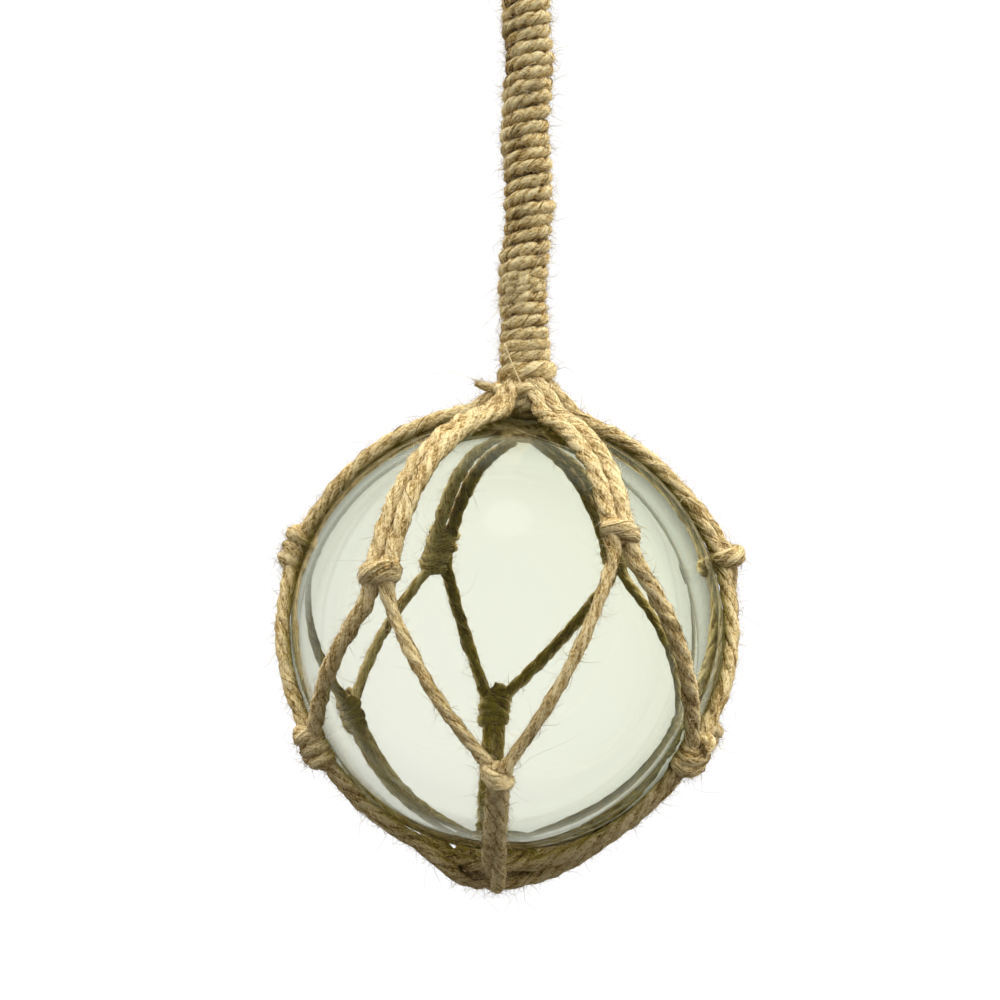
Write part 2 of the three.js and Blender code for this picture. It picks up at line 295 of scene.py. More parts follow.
class Skein:
    """Strands of one piece: their points and faces, and on each point where it lies in its
    fibres, how deep it sits between the strands, which the material paints as shade, and how
    far it faces the ball, which sets painted shade, tinted green, on the side towards the glass."""

    CLEAR = 0.06  # of the glass
    GLASS_SHADE_REACH = 9  # the painted shade on the side towards the glass reaches this far off it, with its last stretch fading
    GLASS_SHADE_FADE = 4
    GLASS_SHADE_FACING = (0.15, 0.75)  # no painted shade up to the first, and full painted shade from the second

    def __init__(self):
        self.points = []
        self.faces = []
        self.fibre = []
        self.depth = []
        self.under = []
        self.count = 0

    def tube(self, path, half, sides, fibre_turn=0.0, depth=0.0):
        _, side, up = carried(path)
        s = lengths(path)
        turn = 2 * math.pi * np.arange(sides) / sides
        out = np.cos(turn)[None, :, None] * side[:, None]
        out = out + np.sin(turn)[None, :, None] * up[:, None]
        half = np.broadcast_to(np.asarray(half, float), (len(path), sides))
        rings = path[:, None] + half[..., None] * out
        spun = turn[None, :] + fibre_turn * s[:, None]
        thick = half.mean()
        coil = [np.cos(spun) * thick, np.sin(spun) * thick, s[:, None] + np.zeros_like(spun)]
        fibre = np.stack(coil, axis=2) + (0, 0, rng.uniform(-2000, 2000))
        depth = np.broadcast_to(depth, (len(path), sides))
        under = -(out * unit(rings)).sum(2)
        self.under += [under.ravel(), under[0, :1], under[-1, :1]]
        self.points += [rings.reshape(-1, 3), path[:1], path[-1:]]
        self.fibre += [fibre.reshape(-1, 3), fibre[0, :1], fibre[-1, :1]]
        self.depth += [depth.ravel(), depth[0, :1], depth[-1, :1]]
        self.faces.append(tube_faces(len(path), sides, self.count))
        self.count += len(path) * sides + 2

    def cord(self, path, width, lay=LAY, sides=8, strands=0.08, ply=CORD_PLY):
        """A laid cord: three uneven strands that turn to the left about the path, with single
        fibres that come up out of them and sink in again."""
        _, side, up = carried(path)
        s = lengths(path)
        begin = rng.uniform(0, 2 * math.pi)
        swell = width * (1 + 0.08 * wander(s, 12))
        ring = 2 * math.pi * np.arange(sides) / sides
        for k in range(3):
            turn = begin - 2 * math.pi * (s / lay - k / 3) + 0.5 * wander(s, 18)
            out = np.cos(turn)[:, None] * side + np.sin(turn)[:, None] * up
            centre = path + (ply[0] * swell)[:, None] * out
            half = ply[1] * swell * (1 + 0.12 * wander(s, 5))
            way, a, b = carried(centre)
            facing = np.cos(ring)[None, :] * (a * out).sum(1)[:, None]
            facing = facing + np.sin(ring)[None, :] * (b * out).sum(1)[:, None]
            rough = 1 + rng.normal(0, 0.06, (len(s), sides))
            # Each strand gets painted shade on its side that faces into the cord (depth 0) and none
            # on its outer side (depth 1).
            self.tube(centre, half[:, None] * rough, sides, 0.2, 0.5 + 0.5 * facing)
            across = np.cross(way, out)
            for _ in range(int(s[-1] * strands)):
                self.strand(centre, half, out, across)

    def strand(self, centre, half, out, across):
        """A bundle of fibres on the outer side of one strand of a cord."""
        step = np.linalg.norm(centre[1] - centre[0])
        count = min(len(centre), int(rng.uniform(6, 16) / step))
        first = rng.integers(0, len(centre) - count + 1)
        part = slice(first, first + count)
        t = np.linspace(0, 1, count)
        turn = rng.normal(0, 0.85) + rng.normal(0.3, 0.8) * (t - 0.5) + 0.2 * wander(t, 0.5)
        lift = half[part] * (0.92 + 0.12 * np.sin(math.pi * t))
        way = np.cos(turn)[:, None] * out[part] + np.sin(turn)[:, None] * across[part]
        thick = rng.uniform(0.07, 0.17) * (0.25 + 0.75 * np.sin(math.pi * t) ** 0.6)
        self.tube(centre[part] + lift[:, None] * way, thick[:, None], 4, 0.1, rng.uniform(0.0, 1.6))

    def sink(self, axis, low, high):
        """Makes what lies nearer to an upright axis the deeper in shade."""
        for k, points in enumerate(self.points):
            r = np.hypot(points[:, 0] - axis, points[:, 1])
            self.depth[k] = self.depth[k] * (0.1 + 0.9 * smooth(r, low, high))

    def finish(self, name, material, slot, glass_shade=0.0):
        """Makes the piece. It stays clear of the glass, and gets painted shade, dark and tinted
        green as by light through the glass, where it faces it.
        """
        points = np.concatenate(self.points)
        away = np.linalg.norm(points, axis=1, keepdims=True)
        points = points * np.maximum(1, (RADIUS + self.CLEAR) / away)
        near = smooth(RADIUS + self.GLASS_SHADE_REACH - away[:, 0], 0, self.GLASS_SHADE_FADE)
        # Painted shade, tinted green as by light through the glass, on the sides near the glass and
        # facing it.
        marks = {
            "fibre": np.concatenate(self.fibre),
            "depth": np.concatenate(self.depth),
            "under": glass_shade * near * smooth(np.concatenate(self.under), *self.GLASS_SHADE_FACING),
        }
        return new_piece(name, points, np.concatenate(self.faces), material, slot, **marks)


class Fuzz:
    """Loose fibres in a few tints: a nap that lies on the cords, and hairs that stand out."""

    NAP_STEPS = np.array([0, 0.55, 1.0])
    NAP_HALF = (0.03, 0.065)
    HAIR_STEPS = np.array([0, 0.2, 0.4, 0.6, 0.8, 1.0])
    HAIR_HALF = (0.012, 0.028)
    LENGTHS = (0.6, 8)  # the shortest and the longest

    def __init__(self):
        self.nap = []
        self.hairs = []

    def along(self, path, half, nap, hairs, long=2.0, axis=None):
        """Fibres on a cord, so many of each kind a millimetre. None grow towards the ball, nor
        towards the upright axis that the cord is wound round."""
        self.nap += self.grown(path, half, nap, 1.7, 0.35, (0.0, 0.28), 0.4, axis)
        self.hairs += self.grown(path, half, hairs, long, 0.6, (0.25, 1.0), 0.3, axis)

    def grown(self, path, half, per_mm, long, spread, rise, stray, axis):
        way, side, up = carried(path)
        count = int(lengths(path)[-1] * per_mm)
        at = rng.integers(0, len(path), count)
        turn = rng.uniform(0, 2 * math.pi, count)
        out = np.cos(turn)[:, None] * side[at] + np.sin(turn)[:, None] * up[at]
        half = np.broadcast_to(half, len(path))[at][:, None]
        root = path[at] + out * half * 0.93
        if axis is None:
            free = (out * unit(root)).sum(1) > -0.5
        else:
            free = out[:, 0] * (root[:, 0] - axis) + out[:, 1] * root[:, 1] > 0
        lean = (rng.choice((-1, 1), count) * rng.uniform(0.3, 1, count))[:, None] * way[at]
        aim = out * rng.uniform(*rise, count)[:, None] + lean + rng.normal(0, stray, (count, 3))
        bend = rng.normal(0, 0.6, (count, 3)) - 0.2 * out - np.array([0, 0, 0.05])
        size = np.clip(long * np.exp(rng.normal(0, spread, count)), *self.LENGTHS)
        return list(zip(root[free], unit(aim)[free], bend[free], size[free]))

    def strips(self, grown, steps, thick):
        """Points and faces of fibres: three-sided, and drawn to a point."""
        root, aim, bend, size = (np.array(x) for x in zip(*grown))
        count = len(root)
        t = steps[None, :, None]
        a = unit(np.cross(aim, rng.normal(0, 1, aim.shape)))
        b = np.cross(aim, a)
        swing = rng.uniform(0, 0.34, count)[:, None, None]
        phase = rng.uniform(0, 2 * math.pi, count)[:, None, None]
        curl = swing * (np.sin(7 * t + phase) - np.sin(phase)) * a[:, None]
        course = aim[:, None] * t + bend[:, None] * t * t + curl
        path = root[:, None] + size[:, None, None] * course
        away = np.linalg.norm(path, axis=2, keepdims=True)
        path = path * np.maximum(1, (RADIUS + 0.12) / away)
        half = rng.uniform(*thick, count)[:, None, None] * (1 - 0.5 * t)
        turns = 2 * math.pi * np.arange(3) / 3
        rings = [path + half * (math.cos(q) * a[:, None] + math.sin(q) * b[:, None]) for q in turns]
        walls = np.stack(rings, axis=2)[:, :-1].reshape(count, -1, 3)
        points = np.concatenate([walls, path[:, -1:]], axis=1)
        tip = points.shape[1] - 1
        faces = tube_faces(len(steps) - 1, 3, 0)
        faces = faces[(faces < tip).all(1)]
        a, b, c = tip - 3, tip - 2, tip - 1
        ends = [(2, 1, 0), (a, b, tip), (b, c, tip), (c, a, tip)]
        faces = np.concatenate([faces, ends])
        every = faces[None] + (tip + 1) * np.arange(count)[:, None, None]
        return points.reshape(-1, 3), every.reshape(-1, 3)

    def finish(self, tints):
        rng.shuffle(self.nap)
        rng.shuffle(self.hairs)
        for k, (name, material) in enumerate(tints):
            points, faces = self.strips(self.nap[k :: len(tints)], self.NAP_STEPS, self.NAP_HALF)
            hairs = self.hairs[k :: len(tints)]
            more, others = self.strips(hairs, self.HAIR_STEPS, self.HAIR_HALF)
            faces = np.concatenate([faces, others + len(points)])
            new_piece(name, np.concatenate([points, more]), faces, material, "jute_cord")


# Materials


def shader(name):
    material = bpy.data.materials.new(name)
    material.use_nodes = True
    tree = material.node_tree
    return material, tree, tree.nodes["Principled BSDF"]


def add(tree, kind, **settings):
    made = tree.nodes.new(kind)
    for key, value in settings.items():
        setattr(made, key, value)
    return made


def noise(tree, place, detail):
    made = add(tree, "ShaderNodeTexNoise")
    made.inputs["Scale"].default_value = 1
    made.inputs["Detail"].default_value = detail
    made.inputs["Roughness"].default_value = 0.6
    tree.links.new(place, made.inputs["Vector"])
    return made.outputs["Fac"]


def scaled(tree, place, scale):
    mapping = add(tree, "ShaderNodeMapping")
    mapping.inputs["Scale"].default_value = scale
    tree.links.new(place, mapping.inputs["Vector"])
    return mapping.outputs["Vector"]


def twisted(tree, fibre, rate):
    """Places along fibres that go round their strand at another rate, in radians a millimetre."""
    parts = add(tree, "ShaderNodeSeparateXYZ")
    angle = add(tree, "ShaderNodeMath", operation="MULTIPLY")
    angle.inputs[1].default_value = rate
    turned = add(tree, "ShaderNodeVectorRotate", rotation_type="Z_AXIS")
    tree.links.new(fibre, parts.inputs["Vector"])
    tree.links.new(parts.outputs["Z"], angle.inputs[0])
    tree.links.new(fibre, turned.inputs["Vector"])
    tree.links.new(angle.outputs["Value"], turned.inputs["Angle"])
    return turned.outputs["Vector"]


def weighed(tree, parts):
    """The sum of values, each times its own weight."""
    total = None
    for value, weight in parts:
        step = add(tree, "ShaderNodeMath", operation="MULTIPLY_ADD")
        step.inputs[1].default_value = weight
        step.inputs[2].default_value = 0
        tree.links.new(value, step.inputs[0])
        if total is not None:
            tree.links.new(total, step.inputs[2])
        total = step.outputs["Value"]
    return total


def jute(name, tints, groove_shade):
    material, tree, surface = shader(name)
    fibre = add(tree, "ShaderNodeAttribute", attribute_name="fibre").outputs["Vector"]
    # depth: painted shade in the grooves between strands and round the cores, low being dark; on
    # loose fibres it is a random tone.
    depth = add(tree, "ShaderNodeAttribute", attribute_name="depth").outputs["Fac"]
    place = add(tree, "ShaderNodeTexCoord").outputs["Object"]
    laid = noise(tree, scaled(tree, fibre, (3.0, 3.0, 0.3)), 3)
    crossed = noise(tree, scaled(tree, twisted(tree, fibre, -0.6), (2.8, 2.8, 0.45)), 3)
    fluff = noise(tree, scaled(tree, place, (1600, 1600, 1600)), 3)
    broad = noise(tree, scaled(tree, fibre, (0.9, 0.9, 0.14)), 2)
    patch = noise(tree, scaled(tree, place, (110, 110, 110)), 2)
    parts = [(laid, 1.5), (crossed, 1.2), (fluff, 0.9), (broad, 0.8), (patch, 0.6), (depth, groove_shade)]
    value = weighed(tree, parts)
    ramp = add(tree, "ShaderNodeValToRGB")
    middle = sum(weight for _, weight in parts) / 2
    places = [middle + step for step in TINT_STEPS]
    span = add(tree, "ShaderNodeMapRange")
    span.inputs["From Min"].default_value = places[0]
    span.inputs["From Max"].default_value = places[-1]
    tree.links.new(value, span.inputs["Value"])
    tree.links.new(span.outputs["Result"], ramp.inputs["Fac"])
    while len(ramp.color_ramp.elements) < len(tints):
        ramp.color_ramp.elements.new(0.5)
    for element, at, tint in zip(ramp.color_ramp.elements, places, tints):
        element.position = (at - places[0]) / (places[-1] - places[0])
        element.color = (*tint, 1)
    # The side that faces the glass gets painted shade: the tints times a dark green, as by light
    # through the glass.
    under = add(tree, "ShaderNodeAttribute", attribute_name="under")
    glass_shaded = add(tree, "ShaderNodeMix", data_type="RGBA", blend_type="MULTIPLY")
    glass_shaded.inputs[7].default_value = (*GLASS_SHADE_TINT, 1)
    tree.links.new(under.outputs["Fac"], glass_shaded.inputs[0])
    tree.links.new(ramp.outputs["Color"], glass_shaded.inputs[6])
    tree.links.new(glass_shaded.outputs[2], surface.inputs["Base Color"])
    bump = add(tree, "ShaderNodeBump")
    bump.inputs["Strength"].default_value = 0.9
    bump.inputs["Distance"].default_value = 0.0004
    relief = weighed(tree, [(laid, 0.8), (crossed, 0.6), (fluff, 1.0), (broad, 0.5)])
    tree.links.new(relief, bump.inputs["Height"])
    tree.links.new(bump.outputs["Normal"], surface.inputs["Normal"])
    surface.inputs["Roughness"].default_value = 0.85
    surface.inputs["Specular IOR Level"].default_value = 0.1
    return material


def loose_fibre(name, tint):
    material, _, surface = shader(name)
    surface.inputs["Base Color"].default_value = (*tint, 1)
    surface.inputs["Roughness"].default_value = 0.7
    surface.inputs["Specular IOR Level"].default_value = 0.3
    return material


def clear_glass():
    material, tree, surface = shader("clear_glass")
    surface.inputs["Base Color"].default_value = (0.995, 1, 0.965, 1)
    surface.inputs["Roughness"].default_value = 0
    surface.inputs["IOR"].default_value = 1.5
    surface.inputs["Transmission Weight"].default_value = 1
    inside = add(tree, "ShaderNodeVolumeAbsorption")
    inside.inputs["Color"].default_value = (0.88, 0.98, 0.53, 1)
    inside.inputs["Density"].default_value = 30
    tree.links.new(inside.outputs["Volume"], tree.nodes["Material Output"].inputs["Volume"])
    return material


# Painted shade on the side of a cord that faces the glass: dark, and green as light that comes
# through the glass.
GLASS_SHADE_TINT = (0.34, 0.31, 0.07)
TINT_STEPS = (-0.42, -0.16, 0.06, 0.32)  # where the tints lie about the middle of the mix
CORD_TINTS = [(0.09, 0.047, 0.011), (0.30, 0.19, 0.056), (0.54, 0.375, 0.15), (0.80, 0.65, 0.36)]
YARN_TINTS = [(0.115, 0.06, 0.013), (0.41, 0.26, 0.075), (0.69, 0.49, 0.195), (0.88, 0.74, 0.42)]
# The last number sets how strongly the painted groove shade darkens the tints.
cord_jute = jute("jute_cord", CORD_TINTS, 0.5)
yarn_jute = jute("jute_yarn", YARN_TINTS, 0.6)
fuzz = Fuzz()


# The net cords


def heads_up():
    """Where the pair above an upper knot heads."""
    return unit(np.array([NECK_X, 0, RADIUS]))


def heads_down(knot):
    """Where the pair below a lower knot heads."""
    a = math.radians(knot.azimuth)
    x = BASE_X + math.cos(a) * knot.beside
    return unit(np.array([x, math.sin(a) * knot.beside, -RADIUS]))


def pair_run(knot, far, top, side, steps):
    """One cord of a pair, left or right by its side, -1 or 1. top is 1 above the ball, -1 below."""
    d = knot.way()
    whole = angle_between(d, far)
    reach = 1 - GATHER_REACH / BED / whole
    points = []
    for t in np.linspace(0, 1, steps + 1):
        at = between(d, far, t * reach)
        right = np.cross(heading(at, far), at) * top
        apart = knot.apart + (knot.spread - knot.apart) * t
        aside = apart / 2 * side + knot.bow * math.sin(math.pi * t)
        points.append(unit(at * BED + right * aside))
    return points


def past_knot(d, above, side):
    """A place so far above a knot, and half a cord to one side."""
    up = heading(d, np.array([0, 0, 1.0]))
    right = np.cross(up, d)
    return unit(d * BED + up * above + right * side * (CORD + CORD_GAP) / 2)


def sag(d, depth, reach):
    away = angle_between(d, np.array([BASE_X, 0, -RADIUS])) * BED
    return depth * smooth(reach - away, 0, reach - 3)


def cord_points(upper, lower, side, slack):
    """The course of a cord: from the neck through its two knots to the base."""
    low_sag = lower.sag - side * SAG_APART
    ride = upper.ride if side > 0 else 0
    high = upper.way()
    low = lower.way()
    top = pair_run(upper, heads_up(), 1, side, 6)
    bottom = pair_run(lower, heads_down(lower), -1, -side, 5)
    leave = past_knot(high, -KNOT_EXIT, side)
    enter = past_knot(low, KNOT_ENTRY, -side)
    slant = []
    for t in np.linspace(0, 1, 7):
        d = between(leave, enter, t)
        slant.append(unit(d * BED - np.array([0, 0, slack * math.sin(math.pi * t)])))
    points = []
    for d in top[::-1] + slant + bottom:
        away = min(angle_between(d, high), angle_between(d, low)) * BED
        lift = KNOT_LIFT * math.exp(-((away / LIFT_REACH) ** 2))
        over = ride * math.exp(-((angle_between(d, high) * BED / RIDE_REACH) ** 2))
        points.append(d * (BED + lift + over + sag(d, low_sag, lower.sag_reach)))
    out = unit((points[0] - (NECK_X, 0, 0)) * (1, 1, 0))
    climb = [out * r + (NECK_X, 0, z) for r, z in NECK_CLIMB]
    out = unit((points[-1] - (BASE_X, 0, 0)) * (1, 1, 0))
    tuck = [out * r + (BASE_X, 0, -RADIUS - low_sag - drop) for r, drop in BASE_TUCK]
    return climb + points + tuck


def cord_widths(path, upper, lower, single):
    """A cord's width along its path: fuller above its upper knot, and less below the lower."""
    s = lengths(path)
    high = s[np.argmin(np.linalg.norm(path - upper.way() * BED, axis=1))]
    low = s[np.argmin(np.linalg.norm(path - lower.way() * BED, axis=1))]
    width = CORD + (single - CORD) * smooth(s, high, high + 9)
    return width + (LOWER_CORD - single) * smooth(s, low - 6, low)


def knot_cord(knot):
    """The cord of a knot's turns is the fuller, the wider the knot."""
    return KNOT_CORD * knot.wide / KNOT_WIDTH


def knot_turns(knot, far, top):
    """The turns of a knot: a cord wound round the pair, drawn tight against the glass."""
    d = knot.way()
    up = heading(d, far) * top
    right = np.cross(up, d)
    turns = max(1.25, knot.tall / KNOT_PITCH)
    thick = knot_cord(knot)
    across = knot.wide / 2 - thick * KNOT_PRESSED
    inner = RADIUS + 1.5
    outer = RADIUS + KNOT_PROUD + knot.ride - thick * KNOT_PRESSED
    pitch = max(knot.tall - thick * 0.9, 0.5) / turns
    points = []
    for q in np.linspace(0, turns, int(turns * 18)):
        turn = 2 * math.pi * (q + 0.62)
        lateral = across * math.cos(turn) * (1 + 0.1 * math.sin(5 * q + knot.azimuth))
        proud = (inner + outer) / 2 + (outer - inner) / 2 * math.sin(turn)
        climb = pitch * (q - turns / 2) + knot.slope * lateral
        points.append(d * proud + right * lateral + up * climb)
    return points


def net_cord(label, upper, lower, side):
    """One cord. A right-hand cord ties its upper knot, and a left-hand one its lower knot."""
    # The third value sets the painted shade, tinted green, on the side that lies on the glass.
    single, slack, glass_shade = SINGLES[label]
    path = relaxed(cord_points(upper, lower, side, slack), 0.85, 1.6)
    width = cord_widths(path, upper, lower, single)
    away = np.linalg.norm(path, axis=1)
    path = path * (1 - (BED - RADIUS - 0.45 * width) / away)[:, None]
    skein = Skein()
    skein.cord(path, width)
    fuzz.along(path, width / 2, nap=9.0, hairs=2.2, long=2.4)
    if side > 0:
        turns = knot_turns(upper, heads_up(), 1)
        thick = knot_cord(upper)
    else:
        turns = knot_turns(lower, heads_down(lower), -1)
        thick = knot_cord(lower)
    coil = relaxed(turns, 0.8, 0.6)
    skein.cord(coil, thick, lay=15, strands=0.2)
    fuzz.along(coil, thick / 2, nap=18.0, hairs=5.0)
    piece = skein.finish(f"net_cord_{label}_laid", cord_jute, "jute_cord", glass_shade)
    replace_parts(piece, f"net_cord_{label}")


def net_cords():
    for i, upper in enumerate(UPPER_KNOTS):
        net_cord(f"{i + 1}a", upper, LOWER_KNOTS[i], -1)
        net_cord(f"{i + 1}b", upper, LOWER_KNOTS[(i + 1) % len(LOWER_KNOTS)], 1)


# The neck, the base, the served rope and its loop


def wound(middle, start, turns, radius, rise):
    """A level winding round an upright line. The radius may change with the turns made."""
    points = []
    for q in np.linspace(0, turns, int(turns * 30)):
        turn = 2 * math.pi * (q + start)
        r = radius(q, turn) if callable(radius) else radius
        points.append(np.array(middle) + (r * math.cos(turn), r * math.sin(turn), rise * q))
    return relaxed(points, 0.7, 0.6)


def neck():
    skein = Skein()
    core = np.array([(NECK_X, 0, z) for z in np.linspace(50.6, 66.8, 12)])
    # The core gets depth 0, the darkest painted shade, as it sits inside the turns.
    skein.tube(core, 4.7, 20, 0.3, 0.0)

    def bulging(q, turn):
        return 3.9 + 0.9 * math.exp(-(((q - 1.0) / 0.4) ** 2)) * max(0, math.cos(turn))

    collar = wound((NECK_X, 0, 58.8), start=0.0, turns=1.4, radius=bulging, rise=1.9)
    skein.cord(collar, 5.6, lay=20, strands=0.4)
    fuzz.along(collar, 2.7, nap=24.0, hairs=6.0, long=1.6, axis=NECK_X)
    above = wound((NECK_X, 0, 62.6), start=0.3, turns=2.2, radius=4.4, rise=2.5)
    skein.cord(above, 3.5, lay=12, strands=0.3)
    fuzz.along(above, 1.75, nap=18.0, hairs=5.0, long=1.6, axis=NECK_X)
    under = wound((NECK_X, 0, 51.2), start=0.16, turns=2.0, radius=5.6, rise=2.2)
    skein.cord(under, 3.8, lay=12, strands=0.2)
    fuzz.along(under, 1.8, nap=12.0, hairs=5.0, long=1.6, axis=NECK_X)
    # The bights under the turns, where a pair's cord bends round into the next pair.
    for first, last in zip(UPPER_KNOTS, UPPER_KNOTS[1:] + UPPER_KNOTS[:1]):
        span = (last.azimuth - first.azimuth) % 360
        points = []
        for t in np.linspace(0.12, 0.88, 9):
            lift = 54.0 + 2.2 * math.sin(math.pi * t)
            points.append(towards(first.azimuth + t * span, 0) * 6.6 + (NECK_X, 0, lift))
        bight = relaxed(points, 0.7, 0.8)
        skein.cord(bight, 3.4, lay=12, strands=0.2)
        fuzz.along(bight, 1.7, nap=14.0, hairs=7.0, long=1.6, axis=NECK_X)
    # A frayed end by the left pair, and a straw caught in the turns.
    stub = relaxed([(-2.5, -1.5, 55.6), (-5.0, -2.2, 57.0), (-7.4, -2.6, 57.4)], 0.6, 0.8)
    skein.cord(stub, np.linspace(3.0, 1.2, len(stub)), lay=12, strands=0.4)
    fuzz.along(stub, 1.0, nap=30.0, hairs=14.0, long=1.4)
    straw = relaxed([(-0.6, -6.3, 66.4), (1.2, -7.0, 61.5), (3.6, -7.6, 56.2)], 0.8, 1.0)
    skein.tube(straw, 0.16, 5, 0.0, 1.6)
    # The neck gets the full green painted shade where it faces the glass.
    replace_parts(skein.finish("neck_turns", yarn_jute, "jute_yarn", 1.0), "neck_binding")


def base():
    skein = Skein()
    ring = wound((BASE_X, 0, -57.6), start=0.1, turns=3.6, radius=4.8, rise=1.3)
    skein.cord(ring, 3.4, lay=13, strands=0.2)
    fuzz.along(ring, 1.7, nap=10.0, hairs=5.0)
    # A wider turn between the glass and the pairs.
    inner = wound((BASE_X, 0, -52.6), start=0.2, turns=1.3, radius=8.8, rise=0.6)
    skein.cord(inner, 3.6, lay=13, strands=0.2)
    across = [
        (-9.0, -3.0, -55.0),
        (-6.0, -4.6, -57.0),
        (-1.5, -5.2, -57.4),
        (5.0, -4.6, -56.4),
        (9.0, -3.0, -54.5),
    ]
    tail = [(-6.0, -1.5, -56.0), (-7.8, -2.6, -57.0), (-6.0, -3.2, -58.0)]
    for points in (across, tail):
        path = relaxed(points, 0.7, 2.0)
        skein.cord(path, 3.4, lay=14, strands=0.2)
        fuzz.along(path, 1.7, nap=14.0, hairs=5.0)
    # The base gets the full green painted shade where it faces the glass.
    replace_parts(skein.finish("base_gather", cord_jute, "jute_cord", 1.0), "base_knot")


def stem_axis(z):
    wave = BEND * np.sin(2 * math.pi * (z - BEND_AT) / BEND_WAVE)
    wave = wave + LEAN[0] + (LEAN[1] - LEAN[0]) * smooth(z, *LEAN_AT)
    wave = wave * smooth(z, STEM_BOTTOM, STEM_BOTTOM + 12) * smooth(STEM_TOP - z, 8, 26)
    return np.stack([NECK_X + wave, 0 * z, z], axis=1)


def serving(skein, bottom, top, pitch, starts, width):
    """Yarn wound round the stem between two heights, so many turns side by side."""
    lead = pitch * starts
    z = np.linspace(bottom, top, int((top - bottom) / lead * 160))
    slip = 0.5 * wander(z, 24)
    flare = smooth(z, STEM_TOP - THROAT_HEIGHT - 7, STEM_TOP - 5)
    for k in range(starts):
        turn = 2 * math.pi * (z / lead + k / starts) + slip
        r = STEM / 2 - 0.45 * width + 0.32 * wander(z, 9)
        points = stem_axis(z)
        points[:, 0] += r * (1 + flare * (THROAT_WIDTH / STEM - 1)) * np.cos(turn)
        points[:, 1] += r * np.sin(turn)
        points[:, 2] += 0.4 * wander(z, 6)
        path = relaxed(points, 0.66, 0.5)
        swell = 1 + 0.16 * wander(lengths(path), 6)
        skein.cord(path, width * swell, lay=8, strands=0.12, ply=YARN_PLY)
        fuzz.along(path, width / 2, nap=22.0, hairs=3.4, long=1.5, axis=NECK_X)


def served_stem():
    skein = Skein()
    core = stem_axis(np.linspace(STEM_BOTTOM + 0.3, STEM_TOP - 0.3, 60))
    # The core gets depth 0, the darkest painted shade, as it sits inside the turns.
    skein.tube(core, STEM_CORE, 20, 0.3, 0.0)
    serving(skein, STEM_BOTTOM + 0.6, CLOSE_TURNS_TOP, CLOSE_PITCH, 1, YARN)
    serving(skein, CLOSE_TURNS_TOP - 2.5, STEM_TOP - 1.9, TURN_PITCH, TURN_STARTS, YARN)
    skein.sink(NECK_X, *STEM_SHADE)
    piece = skein.finish("served_stem_turns", yarn_jute, "jute_yarn")
    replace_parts(piece, "served_stem")
    return piece


def hanging_loop():
    r = LOOP / 2
    bend = LOOP_OPENING / 2 + r
    middle = r - bend
    foot = STEM_TOP - HOOK_Z
    half = [
        (LEG_SPACING / 2, foot - LEG_DEPTH),
        (LEG_SPACING / 2, foot - 4),
        (LEG_SPACING / 2 + 0.25, foot + 0.5),
        (LEG_SPACING / 2 + 4.2, foot + 8),
        (bend - 2.2, middle - 6.5),
        (bend, middle),
        (bend * math.sqrt(0.5), middle + bend * math.sqrt(0.5)),
    ]
    left = [(-x, 0, z) for x, z in half]
    right = [(x, 0, z) for x, z in half[::-1]]
    points = np.array(left + [(0, 0, r)] + right) + (NECK_X, 0, HOOK_Z)
    path = relaxed(points, 0.8, 2.0)
    skein = Skein()
    skein.cord(path, LOOP, lay=22, sides=10, strands=0.2)
    fuzz.along(path, LOOP / 2, nap=8.0, hairs=2.0)
    piece = skein.finish("hanging_loop_rope", cord_jute, "jute_cord")
    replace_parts(piece, "hanging_loop")
    return piece


# The glass


def glass_ball():
    across = 128
    down = 72
    latitude = np.linspace(-math.pi / 2, math.pi / 2, down + 1)[1:-1]
    azimuth = 2 * math.pi * np.arange(across) / across
    la, az = np.meshgrid(latitude, azimuth, indexing="ij")
    d = np.stack([np.cos(la) * np.sin(az), -np.cos(la) * np.cos(az), np.sin(la)], 2).reshape(-1, 3)
    d = np.concatenate([d, [(0, 0, -1), (0, 0, 1)]])
    wave = np.sin(4.1 * d[:, 0] + 1.0) * np.sin(3.3 * d[:, 2] + 0.5)
    wave = wave + np.sin(5.2 * d[:, 1] + 2 * d[:, 2])
    hollow = d * (HOLLOW_RADIUS + HOLLOW_WAVE * wave[:, None]) + HOLLOW_AT
    faces = tube_faces(down - 1, across, 0)
    points = np.concatenate([d * RADIUS, hollow])
    faces = np.concatenate([faces, faces[:, ::-1] + len(d)])
    piece = new_piece("glass_shell", points, faces, clear_glass(), "glass")
    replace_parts(piece, "glass_ball")


# The stage: floor, light and camera


FLOOR_DROP = 650  # from the middle of the ball
FLOOR_HALF = 12.0  # in metres
WHITE = (1.03, 1.03, 1.03, 1)
# What shows by way of a reflection inside the glass: dark in front, paler and then dimmer behind.
RIM_FRONT = (0.04, 0.04, 0.04, 1)
RIM_SIDE = (0.70, 0.71, 0.68, 1)
RIM_BACK = (0.46, 0.47, 0.44, 1)
GLOSS_DARK = (0.04, 0.04, 0.04, 1)
LAMP_WHITE = (1.0, 1.0, 1.0, 1)
LIGHT_FRONT = (0.14, 0.14, 0.14, 1)
LIGHT_BACK = (2.2, 2.2, 2.2, 1)
LIGHT_BELOW = (0.26, 0.26, 0.25, 1)
LIGHT_ABOVE = (3.3, 3.3, 3.25, 1)
LAMP_WAY = (0, -0.428, 0.904)  # towards the soft lamp that shows on the upper glass
LAMP_EDGE = (13, 8)  # its outer and inner edge, in degrees
ABOVE_WAY = (0.22, -0.04, 0.975)
# Where the light from behind, below and above begins and is full, as cosines off its way.
BACK_FADE = (-0.45, 0.6)
BELOW_FADE = (0.1, 0.7)
ABOVE_FADE = (0.25, 0.85)
RIM_EDGES = (63, 44, 24)  # from straight behind, in degrees: dark, palest and dimmer


